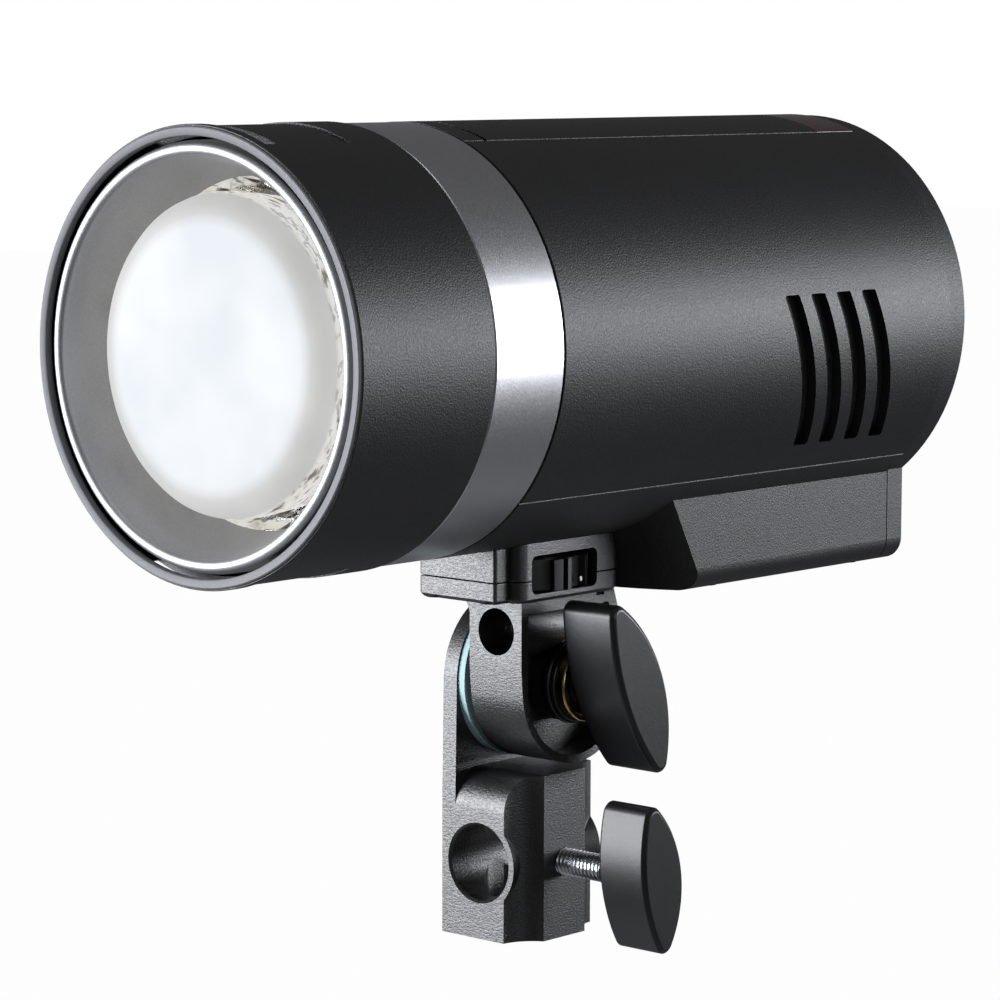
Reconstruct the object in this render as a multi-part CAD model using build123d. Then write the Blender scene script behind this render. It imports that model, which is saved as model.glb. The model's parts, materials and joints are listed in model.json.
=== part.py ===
from build123d import *
import math
import os

# Battery monolight strobe on a tilting light-stand bracket. Millimetres, +Z up.
# The origin is the centre of the spigot socket's mouth. The lamp head lies along Y
# and points along -Y. Head distances run back from the front rim.

os.makedirs("parts", exist_ok=True)

# Lamp head
HEAD_Z = 128.1  # height of the head's axis
FRONT_Y = -95.8  # front rim
HEAD_LENGTH = 194.0
BARREL_R = 45.0
RING_R = 44.6
BODY_R = 44.7
COVER_R = 44.4
WALL = 2.2
SEAM = 0.3  # gap between neighbouring outer pieces
EDGE = 0.35  # small rounding on moulded edges
BARREL_REAR = 37.3
RING_REAR = 57.8
BODY_REAR = 187.3
STRIP_ANGLE = 23.0  # half angle of the top strip, from the top of the head
KEEL_ANGLE = 133.1  # angle from the top to the seam above the battery box
SEAM_ANGLE = 0.12  # half of the angular gap at a lengthwise seam

# Battery box and battery
BOX_HALF_WIDTH = 28.0
BOX_DEPTH = 55.2  # below the head's axis
BOX_CORNER_R = 5.0
BOX_FRONT = 113.3  # front face at the bottom, on the centre line
BOX_BOW_R = 53.0  # the front face bows forward about a leaning axis
BOX_LEAN = 27.7
BAY_FRONT = 120.5
BAY_TOP = 24.0  # below the head's axis
BAY_WALL = 1.6
BATTERY_GAP = 0.3

# Tilt bracket, receiver and their handles
HINGE_Y = 4.4
HINGE_Z = 54.3
WHEEL_Y = -2.6  # vertical axis of the thumb wheel
WHEEL_R = 15.5
PLATE_BOTTOM = 73.1
PLATE_SPLIT = 77.5
PLATE_HALF_WIDTH = 14.0
NOSE_HALF_WIDTH = 10.8
PLATE_FRONT = -16.8
NOSE_FRONT = -20.8
PLATE_REAR = 15.9
NECK_LEFT, NECK_RIGHT = -3.1, 11.5
NECK_FRONT = -13.4
DRUM_R = 17.4
CUP_R = 15.7
CUP_FLOOR = 4.6
UMBRELLA_R = 5.0
UMBRELLA_X = 4.4
UMBRELLA_Z = 66.2
SLEEVE_R = 6.4
HUB_R = 8.6
HUB_FACE = 8.2
BOSS_R = 13.0
SMALL_WASHER_R = 7.4
WASHER_R = 9.0
WASHER_FACE = 10.1
NUT_FRONT, NUT_REAR = 12.4, 14.8
NUT_R = 8.2
BOLT_R = 4.0
EAR_LEFT, EAR_RIGHT = -10.4, -6.6
EAR_R = 18.0
DISC_FACE = -4.8
BLOCK_LEFT, BLOCK_RIGHT = -10.4, 12.0
BLOCK_HALF_DEPTH = 14.0
BLOCK_FLAT = 6.6  # half depth of the flat right side, between the two cut corners
BLOCK_HEIGHT = 35.5
SPIGOT_R = 8.05
SPIGOT_DEPTH = 30.0
CROSS_R = 8.1
CROSS_Z = 16.3
SCREW_R = 2.95
RUNNING = 0.06  # radial clearance of a turning fit

HEAD_AXIS = Axis((0, 0, HEAD_Z), (0, 1, 0))
HEAD_PROFILE = Plane(origin=(0, FRONT_Y, HEAD_Z), x_dir=(0, 1, 0), z_dir=(1, 0, 0))
SIDE = Plane(origin=(0, 0, 0), x_dir=(0, 1, 0), z_dir=(1, 0, 0))

parts = {}


def section(distance):
    """Plane across the head, with local x along +X and local y along +Z."""
    return Plane(origin=(0, FRONT_Y + distance, HEAD_Z), x_dir=(1, 0, 0), z_dir=(0, -1, 0))


def slab(sketch, front, rear):
    """Sketch across the head, made solid between two head distances."""
    return extrude(section(rear) * sketch, rear - front)


def turned(*points):
    """Solid turned about the head's axis from (distance, radius) points."""
    return revolve(HEAD_PROFILE * make_face(Polyline(*points, close=True)), HEAD_AXIS)


def tube(outer, inner, front, rear, bevel=0.0):
    """Tube on the head's axis with bevelled outer edges."""
    return turned(
        (front, inner), (front, outer - bevel), (front + bevel, outer),
        (rear - bevel, outer), (rear, outer - bevel), (rear, inner),
    ) if bevel else turned((front, inner), (front, outer), (rear, outer), (rear, inner))


def rod_x(radius, left, right, y, z):
    """Round bar along X."""
    return Plane(origin=(left, y, z), x_dir=(0, 1, 0), z_dir=(1, 0, 0)) * extrude(Circle(radius), right - left)


def rod_y(radius, front, rear, x, z):
    """Round bar along Y."""
    return Plane(origin=(x, front, z), x_dir=(1, 0, 0), z_dir=(0, 1, 0)) * extrude(Circle(radius), rear - front)


def rod_z(radius, bottom, top, x, y):
    """Upright round bar."""
    return Pos(x, y, bottom) * extrude(Circle(radius), top - bottom)


def block(x0, x1, y0, y1, z0, z1):
    """Box between two corners."""
    return Pos((x0 + x1) / 2, (y0 + y1) / 2, (z0 + z1) / 2) * Box(x1 - x0, y1 - y0, z1 - z0)


def band(outer, inner, start, end, rounding=0.0):
    """Arc-shaped strip across the head; angles in degrees from the top, towards +X."""
    reach = outer * 1.5
    steps = max(2, math.ceil((end - start) / 40))
    angles = [math.radians(start + (end - start) * i / steps) for i in range(steps + 1)]
    wedge = make_face(Polyline((0, 0), *[(reach * math.sin(a), reach * math.cos(a)) for a in angles], close=True))
    strip = (Circle(outer) - Circle(inner)) & wedge
    if rounding:
        outside = strip.vertices().filter_by(lambda v: math.hypot(v.X, v.Y) > outer - 0.01)
        strip = fillet(outside, rounding)
    return strip


def keyhole(radius, rounding):
    """Outline of the rear cover: the round body with the battery box below it."""
    box = Pos(0, -BOX_DEPTH / 2) * RectangleRounded(2 * BOX_HALF_WIDTH, BOX_DEPTH, rounding)
    return Circle(radius) + box


def bay(grow):
    """Battery section, grown by a gap."""
    height = BOX_DEPTH - WALL - BAY_TOP
    centre = -(BAY_TOP + height / 2)
    width = 2 * (BOX_HALF_WIDTH - WALL - 0.2)
    return Pos(0, centre) * RectangleRounded(width + 2 * grow, height + 2 * grow, 3.5 + grow)


# ---------------------------------------------------------------- front of the head

RIM_OUTER, RIM_INNER = 44.65, 43.2
RIM_DEPTH = 6.0
BEAD_OUTER, BEAD_INNER = 42.2, 38.2
SHEET = 0.9
CUP_START, CUP_START_R = 20.0, 33.4
DOME_FRONT = 3.5
DOME_R = 32.0
NOTCH_FRONT, NOTCH_REAR = 2.6, 5.8
RECESS_REAR = 25.5
RECESS_DEPTH = 0.35


def front_barrel():
    body = turned(
        (0.6, RIM_OUTER + 0.05), (0.6, BARREL_R - 0.15), (0.8, BARREL_R),
        (BARREL_REAR - EDGE, BARREL_R), (BARREL_REAR, BARREL_R - EDGE),
        (BARREL_REAR, 42.7), (RIM_DEPTH + 0.2, 42.7), (RIM_DEPTH + 0.2, RIM_OUTER + 0.05),
    )
    # Shallow flats with a bayonet notch, at the top and the bottom
    for turn in (0, 180):
        flat = band(BARREL_R + 1, BARREL_R - RECESS_DEPTH, turn - STRIP_ANGLE, turn + STRIP_ANGLE)
        notch = band(BARREL_R + 1, BARREL_R - 1.5, turn - STRIP_ANGLE, turn + STRIP_ANGLE)
        body -= slab(flat, NOTCH_REAR, RECESS_REAR)
        body -= slab(notch, NOTCH_FRONT, NOTCH_REAR)
    return body


def front_rim():
    return turned(
        (0.5, RIM_OUTER), (0.0, RIM_OUTER - 0.4), (0.0, RIM_INNER + 0.4), (0.5, RIM_INNER),
        (RIM_DEPTH, RIM_INNER), (RIM_DEPTH, RIM_OUTER),
    )


def rolled_bead(radius, centre, front, steps):
    """Half-round mouth of a sheet, from its outer side to its inner side."""
    turns = [math.pi * i / steps for i in range(steps + 1)]
    return [(front - radius * math.sin(turn), centre + radius * math.cos(turn)) for turn in turns]


def reflector():
    """Spun reflector with a rolled bead at its mouth."""
    bead_r = (BEAD_OUTER - BEAD_INNER) / 2
    centre, front = BEAD_INNER + bead_r, 0.4 + bead_r
    wall = [(6.5, 37.75), (11.0, 36.65), (15.5, 35.2), (CUP_START, CUP_START_R)]
    back = [(distance, radius + SHEET) for distance, radius in reversed(wall)]
    flange = [(9.0, BEAD_OUTER - SHEET), (9.0, BEAD_OUTER)]
    inner_bead = list(reversed(rolled_bead(bead_r - SHEET, centre, front, 3)))
    return turned(*rolled_bead(bead_r, centre, front, 6), *wall, *back, *inner_bead, *flange)


CUP_END, CUP_END_R = 31.5, 19.0


def reflector_cup():
    """Deep inner bowl around the flash tube."""
    inside = [(CUP_START + 0.1, CUP_START_R - 0.1), (24.5, 31.9), (28.0, 29.4), (30.3, 25.6), (CUP_END, CUP_END_R)]
    outside = [(CUP_END + SHEET, CUP_END_R), (31.2, 26.0), (28.7, 30.1), (24.9, 32.8), (CUP_START + 0.1, 34.2)]
    return turned(*inside, *outside)


DOME_REAR = 22.0
DOME_WALL = 2.2


def shoulder(radius, front, rounding, steps=3):
    """Rounded corner of the cap, from its flat front to its side."""
    turns = [math.pi / 2 * i / steps for i in range(steps + 1)]
    return [
        (front + rounding * (1 - math.cos(turn)), radius - rounding * (1 - math.sin(turn))) for turn in turns
    ]


def frosted_dome():
    """Protective cap: flat front, rounded shoulder and a slightly drawn-in skirt."""
    outside = shoulder(DOME_R, DOME_FRONT, 5.0) + [(DOME_REAR, DOME_R - 1.2)]
    inside = shoulder(DOME_R - DOME_WALL, DOME_FRONT + DOME_WALL, 3.5) + [(DOME_REAR, DOME_R - 1.2 - DOME_WALL)]
    return turned((DOME_FRONT, 0), *outside, *reversed(inside), (DOME_FRONT + DOME_WALL, 0))


CLAW_COUNT = 3
SOCKET_FRONT, SOCKET_REAR = 32.6, 35.6
STEP_FRONT, POST_FRONT = 27.6, 22.0


def dome_clips():
    """Sprung claws that hold the dome's skirt, on a ring."""
    ring = tube(30.6, 27.0, DOME_REAR + 0.1, DOME_REAR + 1.1)
    for index in range(CLAW_COUNT):
        middle = 60 + index * 360 / CLAW_COUNT
        claw = band(28.3, 27.3, middle - 9, middle + 9)
        ring += slab(claw, DOME_REAR - 6, DOME_REAR + 6.0)
    return ring


def lamp_socket():
    """Ceramic disc behind the bowl that carries the tube and the lamp module."""
    body = turned(
        (POST_FRONT, 0), (POST_FRONT, 10.0), (STEP_FRONT, 10.0), (STEP_FRONT, 18.0), (STEP_FRONT + 0.7, 18.7),
        (SOCKET_FRONT, 18.7), (SOCKET_FRONT, 30.0), (SOCKET_REAR, 30.0), (SOCKET_REAR, 0),
    )
    for side in (-1, 1):
        body -= rod_y(TUBE_R + 0.1, FRONT_Y + 20, FRONT_Y + 40, side * TUBE_LEG_X, HEAD_Z - TUBE_LEG_DROP)
    return body


TUBE_R = 3.0
TUBE_RING_R = 15.0
TUBE_LEG_X = 6.0
TUBE_LEG_DROP = math.sqrt(TUBE_RING_R**2 - TUBE_LEG_X**2)
TUBE_PLANE = 20.0
TUBE_SIDES = 12


def flash_tube():
    """Horseshoe of glass tube whose two ends drop into the socket."""
    gap = math.degrees(math.asin(TUBE_LEG_X / TUBE_RING_R))
    start = HEAD_PROFILE * Pos(TUBE_PLANE, TUBE_RING_R) * RegularPolygon(TUBE_R, TUBE_SIDES)
    ring = Pos(0, 0, HEAD_Z) * Rot(0, 180 + gap, 0) * Pos(0, 0, -HEAD_Z) * revolve(start, HEAD_AXIS, 360 - 2 * gap)
    for side in (-1, 1):
        leg = rod_y(
            TUBE_R, FRONT_Y + TUBE_PLANE - TUBE_R, FRONT_Y + SOCKET_REAR, side * TUBE_LEG_X, HEAD_Z - TUBE_LEG_DROP
        )
        ring += chamfer(leg.faces().sort_by(Axis.Y)[0].edges(), 1.0)
    return ring


def lamp_module():
    """Modelling lamp: a round board with a raised phosphor disc."""
    return turned(
        (20.0, 0), (20.0, 6.8), (20.2, 7.0), (20.6, 7.0), (20.6, 9.4), (20.8, 9.6), (POST_FRONT - 0.1, 9.6),
        (POST_FRONT - 0.1, 0),
    )


# ---------------------------------------------------------------- body of the head

CORE_OUTER, CORE_WALL = 42.4, 2.0
SLOT_FRONT, SLOT_REAR = 64.0, 65.0
WINDOW_FRONT = 174.0
VENT_COUNT = 4
VENT_PITCH = 8.9
VENT_FRONT = 128.4
VENT_WIDTH = 5.1
VENT_TOP, VENT_BOTTOM = 8.1, -24.8
VENT_LEAN = 12.3


def accessory_ring():
    return tube(RING_R, 42.6, BARREL_REAR + SEAM, RING_REAR, 0.4)


def head_core():
    """Inner sleeve and bulkhead that join the barrel to the body."""
    sleeve = tube(CORE_OUTER, CORE_OUTER - CORE_WALL, 12.0, 70.0)
    bulkhead = tube(CORE_OUTER - CORE_WALL + 0.5, 20.0, 36.0, 38.0)
    return sleeve + bulkhead


def vent_slots():
    """Four leaning slots through the right side wall."""
    slots = []
    for index in range(VENT_COUNT):
        front = VENT_FRONT + index * VENT_PITCH
        outline = make_face(Polyline(
            (front, VENT_TOP), (front + VENT_WIDTH, VENT_TOP),
            (front + VENT_WIDTH - 0.3 + VENT_LEAN, VENT_BOTTOM), (front + VENT_LEAN, VENT_BOTTOM), close=True,
        ))
        outline = fillet(outline.vertices(), 0.6)
        slots.append(Pos(30, 0, 0) * extrude(HEAD_PROFILE * outline, 20))
    return slots


def side_shell():
    """Right half of the body; the left one is its mirror image."""
    strip = band(BODY_R, BODY_R - WALL, STRIP_ANGLE + SEAM_ANGLE, KEEL_ANGLE - SEAM_ANGLE, EDGE)
    shell = slab(strip, RING_REAR + SEAM, BODY_REAR)
    for slot in vent_slots():
        shell -= slot
    return shell


def vent_screen():
    """Dust screen behind the right-hand vents."""
    strip = band(BODY_R - WALL - 0.1, BODY_R - WALL - 0.9, 74, 127)
    return slab(strip, VENT_FRONT - 4, VENT_FRONT + VENT_COUNT * VENT_PITCH + VENT_LEAN + 2)


PORT_FRONT, PORT_REAR = 97.0, 119.0
PORT_TOP, PORT_BOTTOM = 4.6, -9.4
PORT_CORNER_R = 1.3
FLAP_INNER_R = 43.1
FLAP_BEAD_R = 1.5
FLAP_PIVOT_Z = -7.5
FLAP_PIVOT_X = -math.sqrt(FLAP_INNER_R**2 - FLAP_PIVOT_Z**2)


def left_side_shell():
    window = block(-50, -38, FRONT_Y + PORT_FRONT, FRONT_Y + PORT_REAR, HEAD_Z + PORT_BOTTOM, HEAD_Z + PORT_TOP)
    window = fillet(window.edges().filter_by(Axis.X).sort_by(Axis.Z)[-2:], PORT_CORNER_R)
    return mirror(side_shell(), about=Plane.YZ) - window


def port_cover():
    """Rubber flap with a hinge bead along its lower edge."""
    front, rear = FRONT_Y + PORT_FRONT + SEAM, FRONT_Y + PORT_REAR - SEAM
    flap = slab(band(BODY_R, FLAP_INNER_R, 255, 285), PORT_FRONT + SEAM, PORT_REAR - SEAM)
    cutter = block(-50, -40, front, rear, HEAD_Z + FLAP_PIVOT_Z, HEAD_Z + PORT_TOP - SEAM)
    flap &= fillet(cutter.edges().filter_by(Axis.X).sort_by(Axis.Z)[-2:], PORT_CORNER_R)
    return flap + rod_y(FLAP_BEAD_R, front, rear, FLAP_PIVOT_X, HEAD_Z + FLAP_PIVOT_Z)


def port_block():
    """Sync and charging sockets behind the flap."""
    middle = FRONT_Y + (PORT_FRONT + PORT_REAR) / 2
    body = block(-40.8, -33, middle - 10.4, middle + 10.4, HEAD_Z - 5.4, HEAD_Z + 4.2)
    body -= rod_x(1.8, -42, -35, middle - 5.5, HEAD_Z - 0.6)
    usb = Plane(origin=(-42, middle + 4, HEAD_Z - 0.6), x_dir=(0, 1, 0), z_dir=(1, 0, 0)) * SlotOverall(9, 3.2)
    return body - extrude(usb, 7)


def top_strip():
    strip = band(BODY_R, BODY_R - WALL, -STRIP_ANGLE + SEAM_ANGLE, STRIP_ANGLE - SEAM_ANGLE, EDGE)
    body = slab(strip, RING_REAR + SEAM, BODY_REAR)
    groove = band(BODY_R + 1, BODY_R - 0.9, -STRIP_ANGLE, STRIP_ANGLE)
    seat = band(BODY_R + 1, BODY_R - 1.5, -STRIP_ANGLE, STRIP_ANGLE)
    return body - slab(groove, SLOT_FRONT, SLOT_REAR) - slab(seat, WINDOW_FRONT, BODY_REAR)


def sensor_window():
    strip = band(BODY_R, BODY_R - 1.45, -STRIP_ANGLE + 0.3, STRIP_ANGLE - 0.3, EDGE)
    return slab(strip, WINDOW_FRONT + 0.15, BODY_REAR - 0.1)


def box_front_tool(grow=0.0):
    """Everything behind the bowed, leaning front face of the battery box."""
    lean = math.radians(BOX_LEAN)
    centre = BOX_FRONT + BOX_BOW_R / math.cos(lean)
    base = Plane(
        origin=(0, FRONT_Y + centre, HEAD_Z - BOX_DEPTH), x_dir=(1, 0, 0), z_dir=(0, -math.sin(lean), math.cos(lean))
    )
    column = extrude(base * Circle(BOX_BOW_R + grow), 60, both=True)
    return column + block(-60, 60, FRONT_Y + 160, FRONT_Y + 260, HEAD_Z - 90, HEAD_Z)


def bottom_shell():
    """Keel of the body with the battery box and its bay."""
    keel = band(BODY_R, BODY_R - WALL, KEEL_ANGLE + SEAM_ANGLE, 360 - KEEL_ANGLE - SEAM_ANGLE, EDGE)
    shell = slab(keel, RING_REAR + SEAM, BODY_REAR)
    outline = Pos(0, -BOX_DEPTH / 2) * RectangleRounded(2 * BOX_HALF_WIDTH, BOX_DEPTH, BOX_CORNER_R)
    chin = slab(outline, 96.0, BODY_REAR) & box_front_tool()
    chin -= slab(Circle(BODY_R - WALL), 60, BODY_REAR + 5)
    chin -= slab(Pos(0, 0) * Rectangle(100, 2 * 30.0), 60, BODY_REAR + 5)
    shell += chin
    well = slab(bay(BAY_WALL + BATTERY_GAP), BAY_FRONT - 2 * BAY_WALL, BODY_REAR) & slab(
        Circle(BODY_R - 0.5), BAY_FRONT - 2 * BAY_WALL, BODY_REAR
    )
    shell += well
    shell -= slab(bay(BATTERY_GAP), BAY_FRONT, BODY_REAR + 5)
    bush = rod_z(8.0, HEAD_Z - BODY_R + 1.0, HEAD_Z - BODY_R + 9.0, 0, WHEEL_Y)
    shell += bush
    shell -= rod_z(6.5, HEAD_Z - BODY_R - 2, HEAD_Z - BODY_R + 12, 0, WHEEL_Y)
    for x, y in box_screw_places():
        shell -= Pos(x, y, HEAD_Z - BOX_DEPTH + 0.65) * Cone(2.5, 1.4, 1.3)
    return shell


def tripod_bush():
    """Threaded brass bush for the thumb wheel's stud."""
    base = HEAD_Z - BODY_R
    bush = rod_z(6.45, base + 0.6, base + 9.0, 0, WHEEL_Y)
    return bush - rod_z(STUD_R + RUNNING, base, base + 12, 0, WHEEL_Y)


# ---------------------------------------------------------------- rear of the head

PANEL = 193.2  # head distance of the control panel's face
COVER_FRONT = BODY_REAR + SEAM
DISPLAY_W, DISPLAY_H = 48.0, 22.0
DISPLAY_Z = 21.0
BUTTON_ROW_Z = 4.6
BUTTON_PITCH = 12.0
BUTTON_W, BUTTON_H = 9.0, 3.6
BUTTON_COUNT = 4
DIAL_Z = -10.8
DIAL_R = 9.0
SET_R = 4.3
SIDE_BUTTON_X = 25.0
SIDE_BUTTON_R = 3.8
BUTTON_GAP = 0.3
BUTTON_FLANGE = 0.8


def rear_cover():
    outline = keyhole(COVER_R, BOX_CORNER_R)
    cover = slab(outline, COVER_FRONT, HEAD_LENGTH)
    rear_edges = cover.faces().sort_by(Axis.Y)[-1].edges()
    cover = chamfer(rear_edges, 0.9)
    cover -= slab(Circle(COVER_R - 3.4), PANEL, HEAD_LENGTH + 1)
    cover -= slab(bay(BATTERY_GAP), COVER_FRONT - 1, HEAD_LENGTH + 1)
    screen = Pos(0, DISPLAY_Z) * RectangleRounded(DISPLAY_W, DISPLAY_H, 2.0)
    well = Pos(0, DISPLAY_Z) * RectangleRounded(DISPLAY_W - 4, DISPLAY_H - 3, 1.5)
    cover -= slab(screen, PANEL - 1.2, HEAD_LENGTH)
    cover -= slab(well, COVER_FRONT - 1, HEAD_LENGTH)
    for x, z, shape, rim in button_places():
        cover -= slab(Pos(x, z) * shape(BUTTON_GAP), COVER_FRONT - 1, HEAD_LENGTH)
        cover -= slab(Pos(x, z) * shape(BUTTON_GAP + rim), COVER_FRONT - 1, 190.8)
    cover -= slab(Pos(0, DIAL_Z) * Circle(DIAL_R + 0.4), 190.6, HEAD_LENGTH)
    return cover


def key_shape(grow):
    return RectangleRounded(BUTTON_W + 2 * grow, BUTTON_H + 2 * grow, 1.2 + grow)


def side_button_shape(grow):
    return Circle(SIDE_BUTTON_R + grow)


def set_shape(grow):
    return Circle(SET_R + grow)


def button_places():
    """Place, outline and flange of every push button on the panel."""
    places = [
        ((index - (BUTTON_COUNT - 1) / 2) * BUTTON_PITCH, BUTTON_ROW_Z, key_shape, BUTTON_FLANGE)
        for index in range(BUTTON_COUNT)
    ]
    places += [(side * SIDE_BUTTON_X, DIAL_Z, side_button_shape, BUTTON_FLANGE) for side in (-1, 1)]
    return places + [(0, DIAL_Z, set_shape, BUTTON_FLANGE)]


def push_button(place, proud):
    x, z, shape, rim = place
    cap = slab(Pos(x, z) * shape(0), 190.0, PANEL + proud)
    cap = chamfer(cap.faces().sort_by(Axis.Y)[-1].edges(), 0.35)
    return cap + slab(Pos(x, z) * shape(rim - BUTTON_GAP), 189.4, 190.4)


DIAL_FLUTES = 24


def control_dial():
    """Knurled selector ring around the set button."""
    ring = slab(Pos(0, DIAL_Z) * Circle(DIAL_R), 190.9, PANEL + 4.2)
    ring = chamfer(ring.faces().sort_by(Axis.Y)[-1].edges(), 0.6)
    for index in range(DIAL_FLUTES):
        angle = 2 * math.pi * index / DIAL_FLUTES
        x, z = (DIAL_R + 0.25) * math.sin(angle), (DIAL_R + 0.25) * math.cos(angle)
        ring -= rod_y(0.6, FRONT_Y + PANEL + 0.6, FRONT_Y + PANEL + 6, x, HEAD_Z + DIAL_Z + z)
    return ring - slab(Pos(0, DIAL_Z) * Circle(SET_R + BUTTON_GAP), 185, HEAD_LENGTH + 10)


def display_window():
    return slab(Pos(0, DISPLAY_Z) * RectangleRounded(DISPLAY_W - 0.2, DISPLAY_H - 0.2, 1.9), PANEL - 1.15, PANEL)


def display_module():
    return slab(Pos(0, DISPLAY_Z) * Rectangle(DISPLAY_W - 5, DISPLAY_H - 4), 188.6, PANEL - 1.3)


BATTERY_FRONT, BATTERY_REAR = 122.0, 193.5
LATCH_Z = -45.0
LATCH_W, LATCH_H = 15.0, 4.6
LATCH_TRAVEL = 2.0


def battery_pack():
    body = slab(bay(0), BATTERY_FRONT, BATTERY_REAR)
    body = chamfer(body.faces().sort_by(Axis.Y)[-1].edges(), 0.5)
    grip = Pos(0, LATCH_Z + 9.2) * RectangleRounded(26, 7, 3)
    body -= slab(grip, BATTERY_REAR - 3.5, BATTERY_REAR + 1)
    slot = Pos(0, LATCH_Z + LATCH_TRAVEL / 2) * RectangleRounded(
        LATCH_W + 0.8, LATCH_H + LATCH_TRAVEL + 0.8, 1.2
    )
    return body - slab(slot, BATTERY_REAR - 4, BATTERY_REAR + 1)


def battery_latch():
    """Sliding catch in the battery's rear face, with grip ridges."""
    body = slab(Pos(0, LATCH_Z) * RectangleRounded(LATCH_W, LATCH_H, 0.9), BATTERY_REAR - 3.6, BATTERY_REAR + 0.6)
    for offset in (-1.3, 0, 1.3):
        groove = Pos(0, LATCH_Z + offset) * Rectangle(LATCH_W - 3, 0.5)
        body -= slab(groove, BATTERY_REAR + 0.2, BATTERY_REAR + 2)
    return body


def battery_contacts():
    """Blade contacts on the front end of the battery."""
    blades = []
    for x in (-12, -4, 4, 12):
        blades.append(slab(Pos(x, -36) * Rectangle(3, 8), BATTERY_FRONT - 0.8, BATTERY_FRONT))
    return Compound(children=blades)


# ---------------------------------------------------------------- inside the head

CAPACITOR_R = 12.5
CAPACITOR_FRONT, CAPACITOR_REAR = 72.0, 116.5
CAPACITOR_PLACES = ((-15.0, 14.0), (15.0, 14.0), (0.0, -13.0))


def flash_capacitor(x, z):
    can = slab(Pos(x, z) * Circle(CAPACITOR_R), CAPACITOR_FRONT, CAPACITOR_REAR)
    return chamfer(can.edges().filter_by(GeomType.CIRCLE), 1.0)


def main_board():
    """Control board behind the panel, notched for the battery."""
    board = slab(Circle(40), 181.0, 182.6)
    return board - slab(Pos(0, -50) * Rectangle(120, 60), 180, 184)


def power_board():
    board = block(-26, 26, FRONT_Y + 126, FRONT_Y + 172, HEAD_Z + 24, HEAD_Z + 25.6)
    coil = rod_z(8, HEAD_Z + 14, HEAD_Z + 24, -12, FRONT_Y + 140)
    driver = block(0, 15, FRONT_Y + 132, FRONT_Y + 150, HEAD_Z + 17.4, HEAD_Z + 24)
    return board + coil + driver


FAN_X, FAN_WIDTH = 18.0, 10.0
FAN_SIZE = 40.0
FAN_Y = FRONT_Y + 150.0
FAN_Z = HEAD_Z - 1.4
FAN_R = 18.4
FAN_BLADES = 7


def fan_frame():
    half = FAN_SIZE / 2
    frame = block(FAN_X, FAN_X + FAN_WIDTH, FAN_Y - half, FAN_Y + half, FAN_Z - half, FAN_Z + half)
    frame = fillet(frame.edges().filter_by(Axis.X), 3)
    frame -= rod_x(FAN_R, FAN_X - 1, FAN_X + FAN_WIDTH + 1, FAN_Y, FAN_Z)
    frame += rod_x(8.2, FAN_X, FAN_X + 1.4, FAN_Y, FAN_Z)
    for turn in (45, 165, 285):
        strut = Pos(FAN_X, FAN_Y, FAN_Z) * Rot(turn, 0, 0) * block(0, 1.4, -1.2, 1.2, 0, FAN_R + 0.6)
        frame += strut
    return frame - rod_x(1.0 + RUNNING, FAN_X - 1, FAN_X + 2, FAN_Y, FAN_Z)


def fan_impeller():
    """Hub, shaft and pitched blades."""
    hub = rod_x(8.0, FAN_X + 1.9, FAN_X + 9.2, FAN_Y, FAN_Z) + rod_x(1.0, FAN_X + 0.2, FAN_X + 3, FAN_Y, FAN_Z)
    swept = rod_x(FAN_R - 0.7, FAN_X + 2.2, FAN_X + 9.0, FAN_Y, FAN_Z)
    for index in range(FAN_BLADES):
        blade = Rot(index * 360 / FAN_BLADES, 0, 0) * Pos(3.4, 0, 12.4) * Rot(0, 0, 52) * Box(0.9, 11, 12.0)
        hub += (Pos(FAN_X + 2.2, FAN_Y, FAN_Z) * blade) & swept
    return hub


# ---------------------------------------------------------------- tilt bracket

STUD_R = 4.7
POCKET_R = 15.9
POCKET_FLOOR, POCKET_TOP = 74.8, 82.0
WINDOW_Y = (-13.0, 7.8)
WINDOW_TOP = 82.9
WHEEL_BOTTOM, WHEEL_TOP = 75.2, 81.6
WHEEL_RIBS = 26
RIB_WIDTH, RIB_HEIGHT = 1.5, 1.5


def plate_outline():
    """Plan of the bracket's plates: a narrow nose on a wider seat."""
    middle = (PLATE_FRONT + PLATE_REAR) / 2
    seat = Pos(0, middle) * RectangleRounded(2 * PLATE_HALF_WIDTH, PLATE_REAR - PLATE_FRONT, 3.0)
    nose = Pos(0, (NOSE_FRONT + middle) / 2) * RectangleRounded(2 * NOSE_HALF_WIDTH, middle - NOSE_FRONT, 0.8)
    return seat + nose


def wheel_space():
    """Round pocket and side windows for the thumb wheel."""
    pocket = rod_z(POCKET_R, POCKET_FLOOR, POCKET_TOP, 0, WHEEL_Y)
    window = block(-20, 20, *WINDOW_Y, POCKET_FLOOR, WINDOW_TOP)
    window = fillet(window.edges().filter_by(Axis.X), 1.5)
    window -= rod_z(10, POCKET_TOP, WINDOW_TOP + 1, 0, WHEEL_Y)
    return pocket + window


def bracket_screw_places():
    return [(side * x, y) for x, y in ((7.6, -18.8), (11.2, 11.8)) for side in (-1, 1)]


def bracket_saddle():
    """Upper plate, hollowed on top to sit against the round body."""
    body = Pos(0, 0, PLATE_SPLIT + SEAM) * extrude(plate_outline(), 12)
    body -= slab(Circle(BODY_R + 0.05), 60, 130)
    body -= box_front_tool(SEAM)
    body -= wheel_space()
    body -= rod_z(STUD_R + 0.5, POCKET_TOP - 1, HEAD_Z, 0, WHEEL_Y)
    for x, y in bracket_screw_places():
        body -= rod_z(1.3, PLATE_SPLIT, PLATE_SPLIT + 4.2, x, y)
    return body


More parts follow.
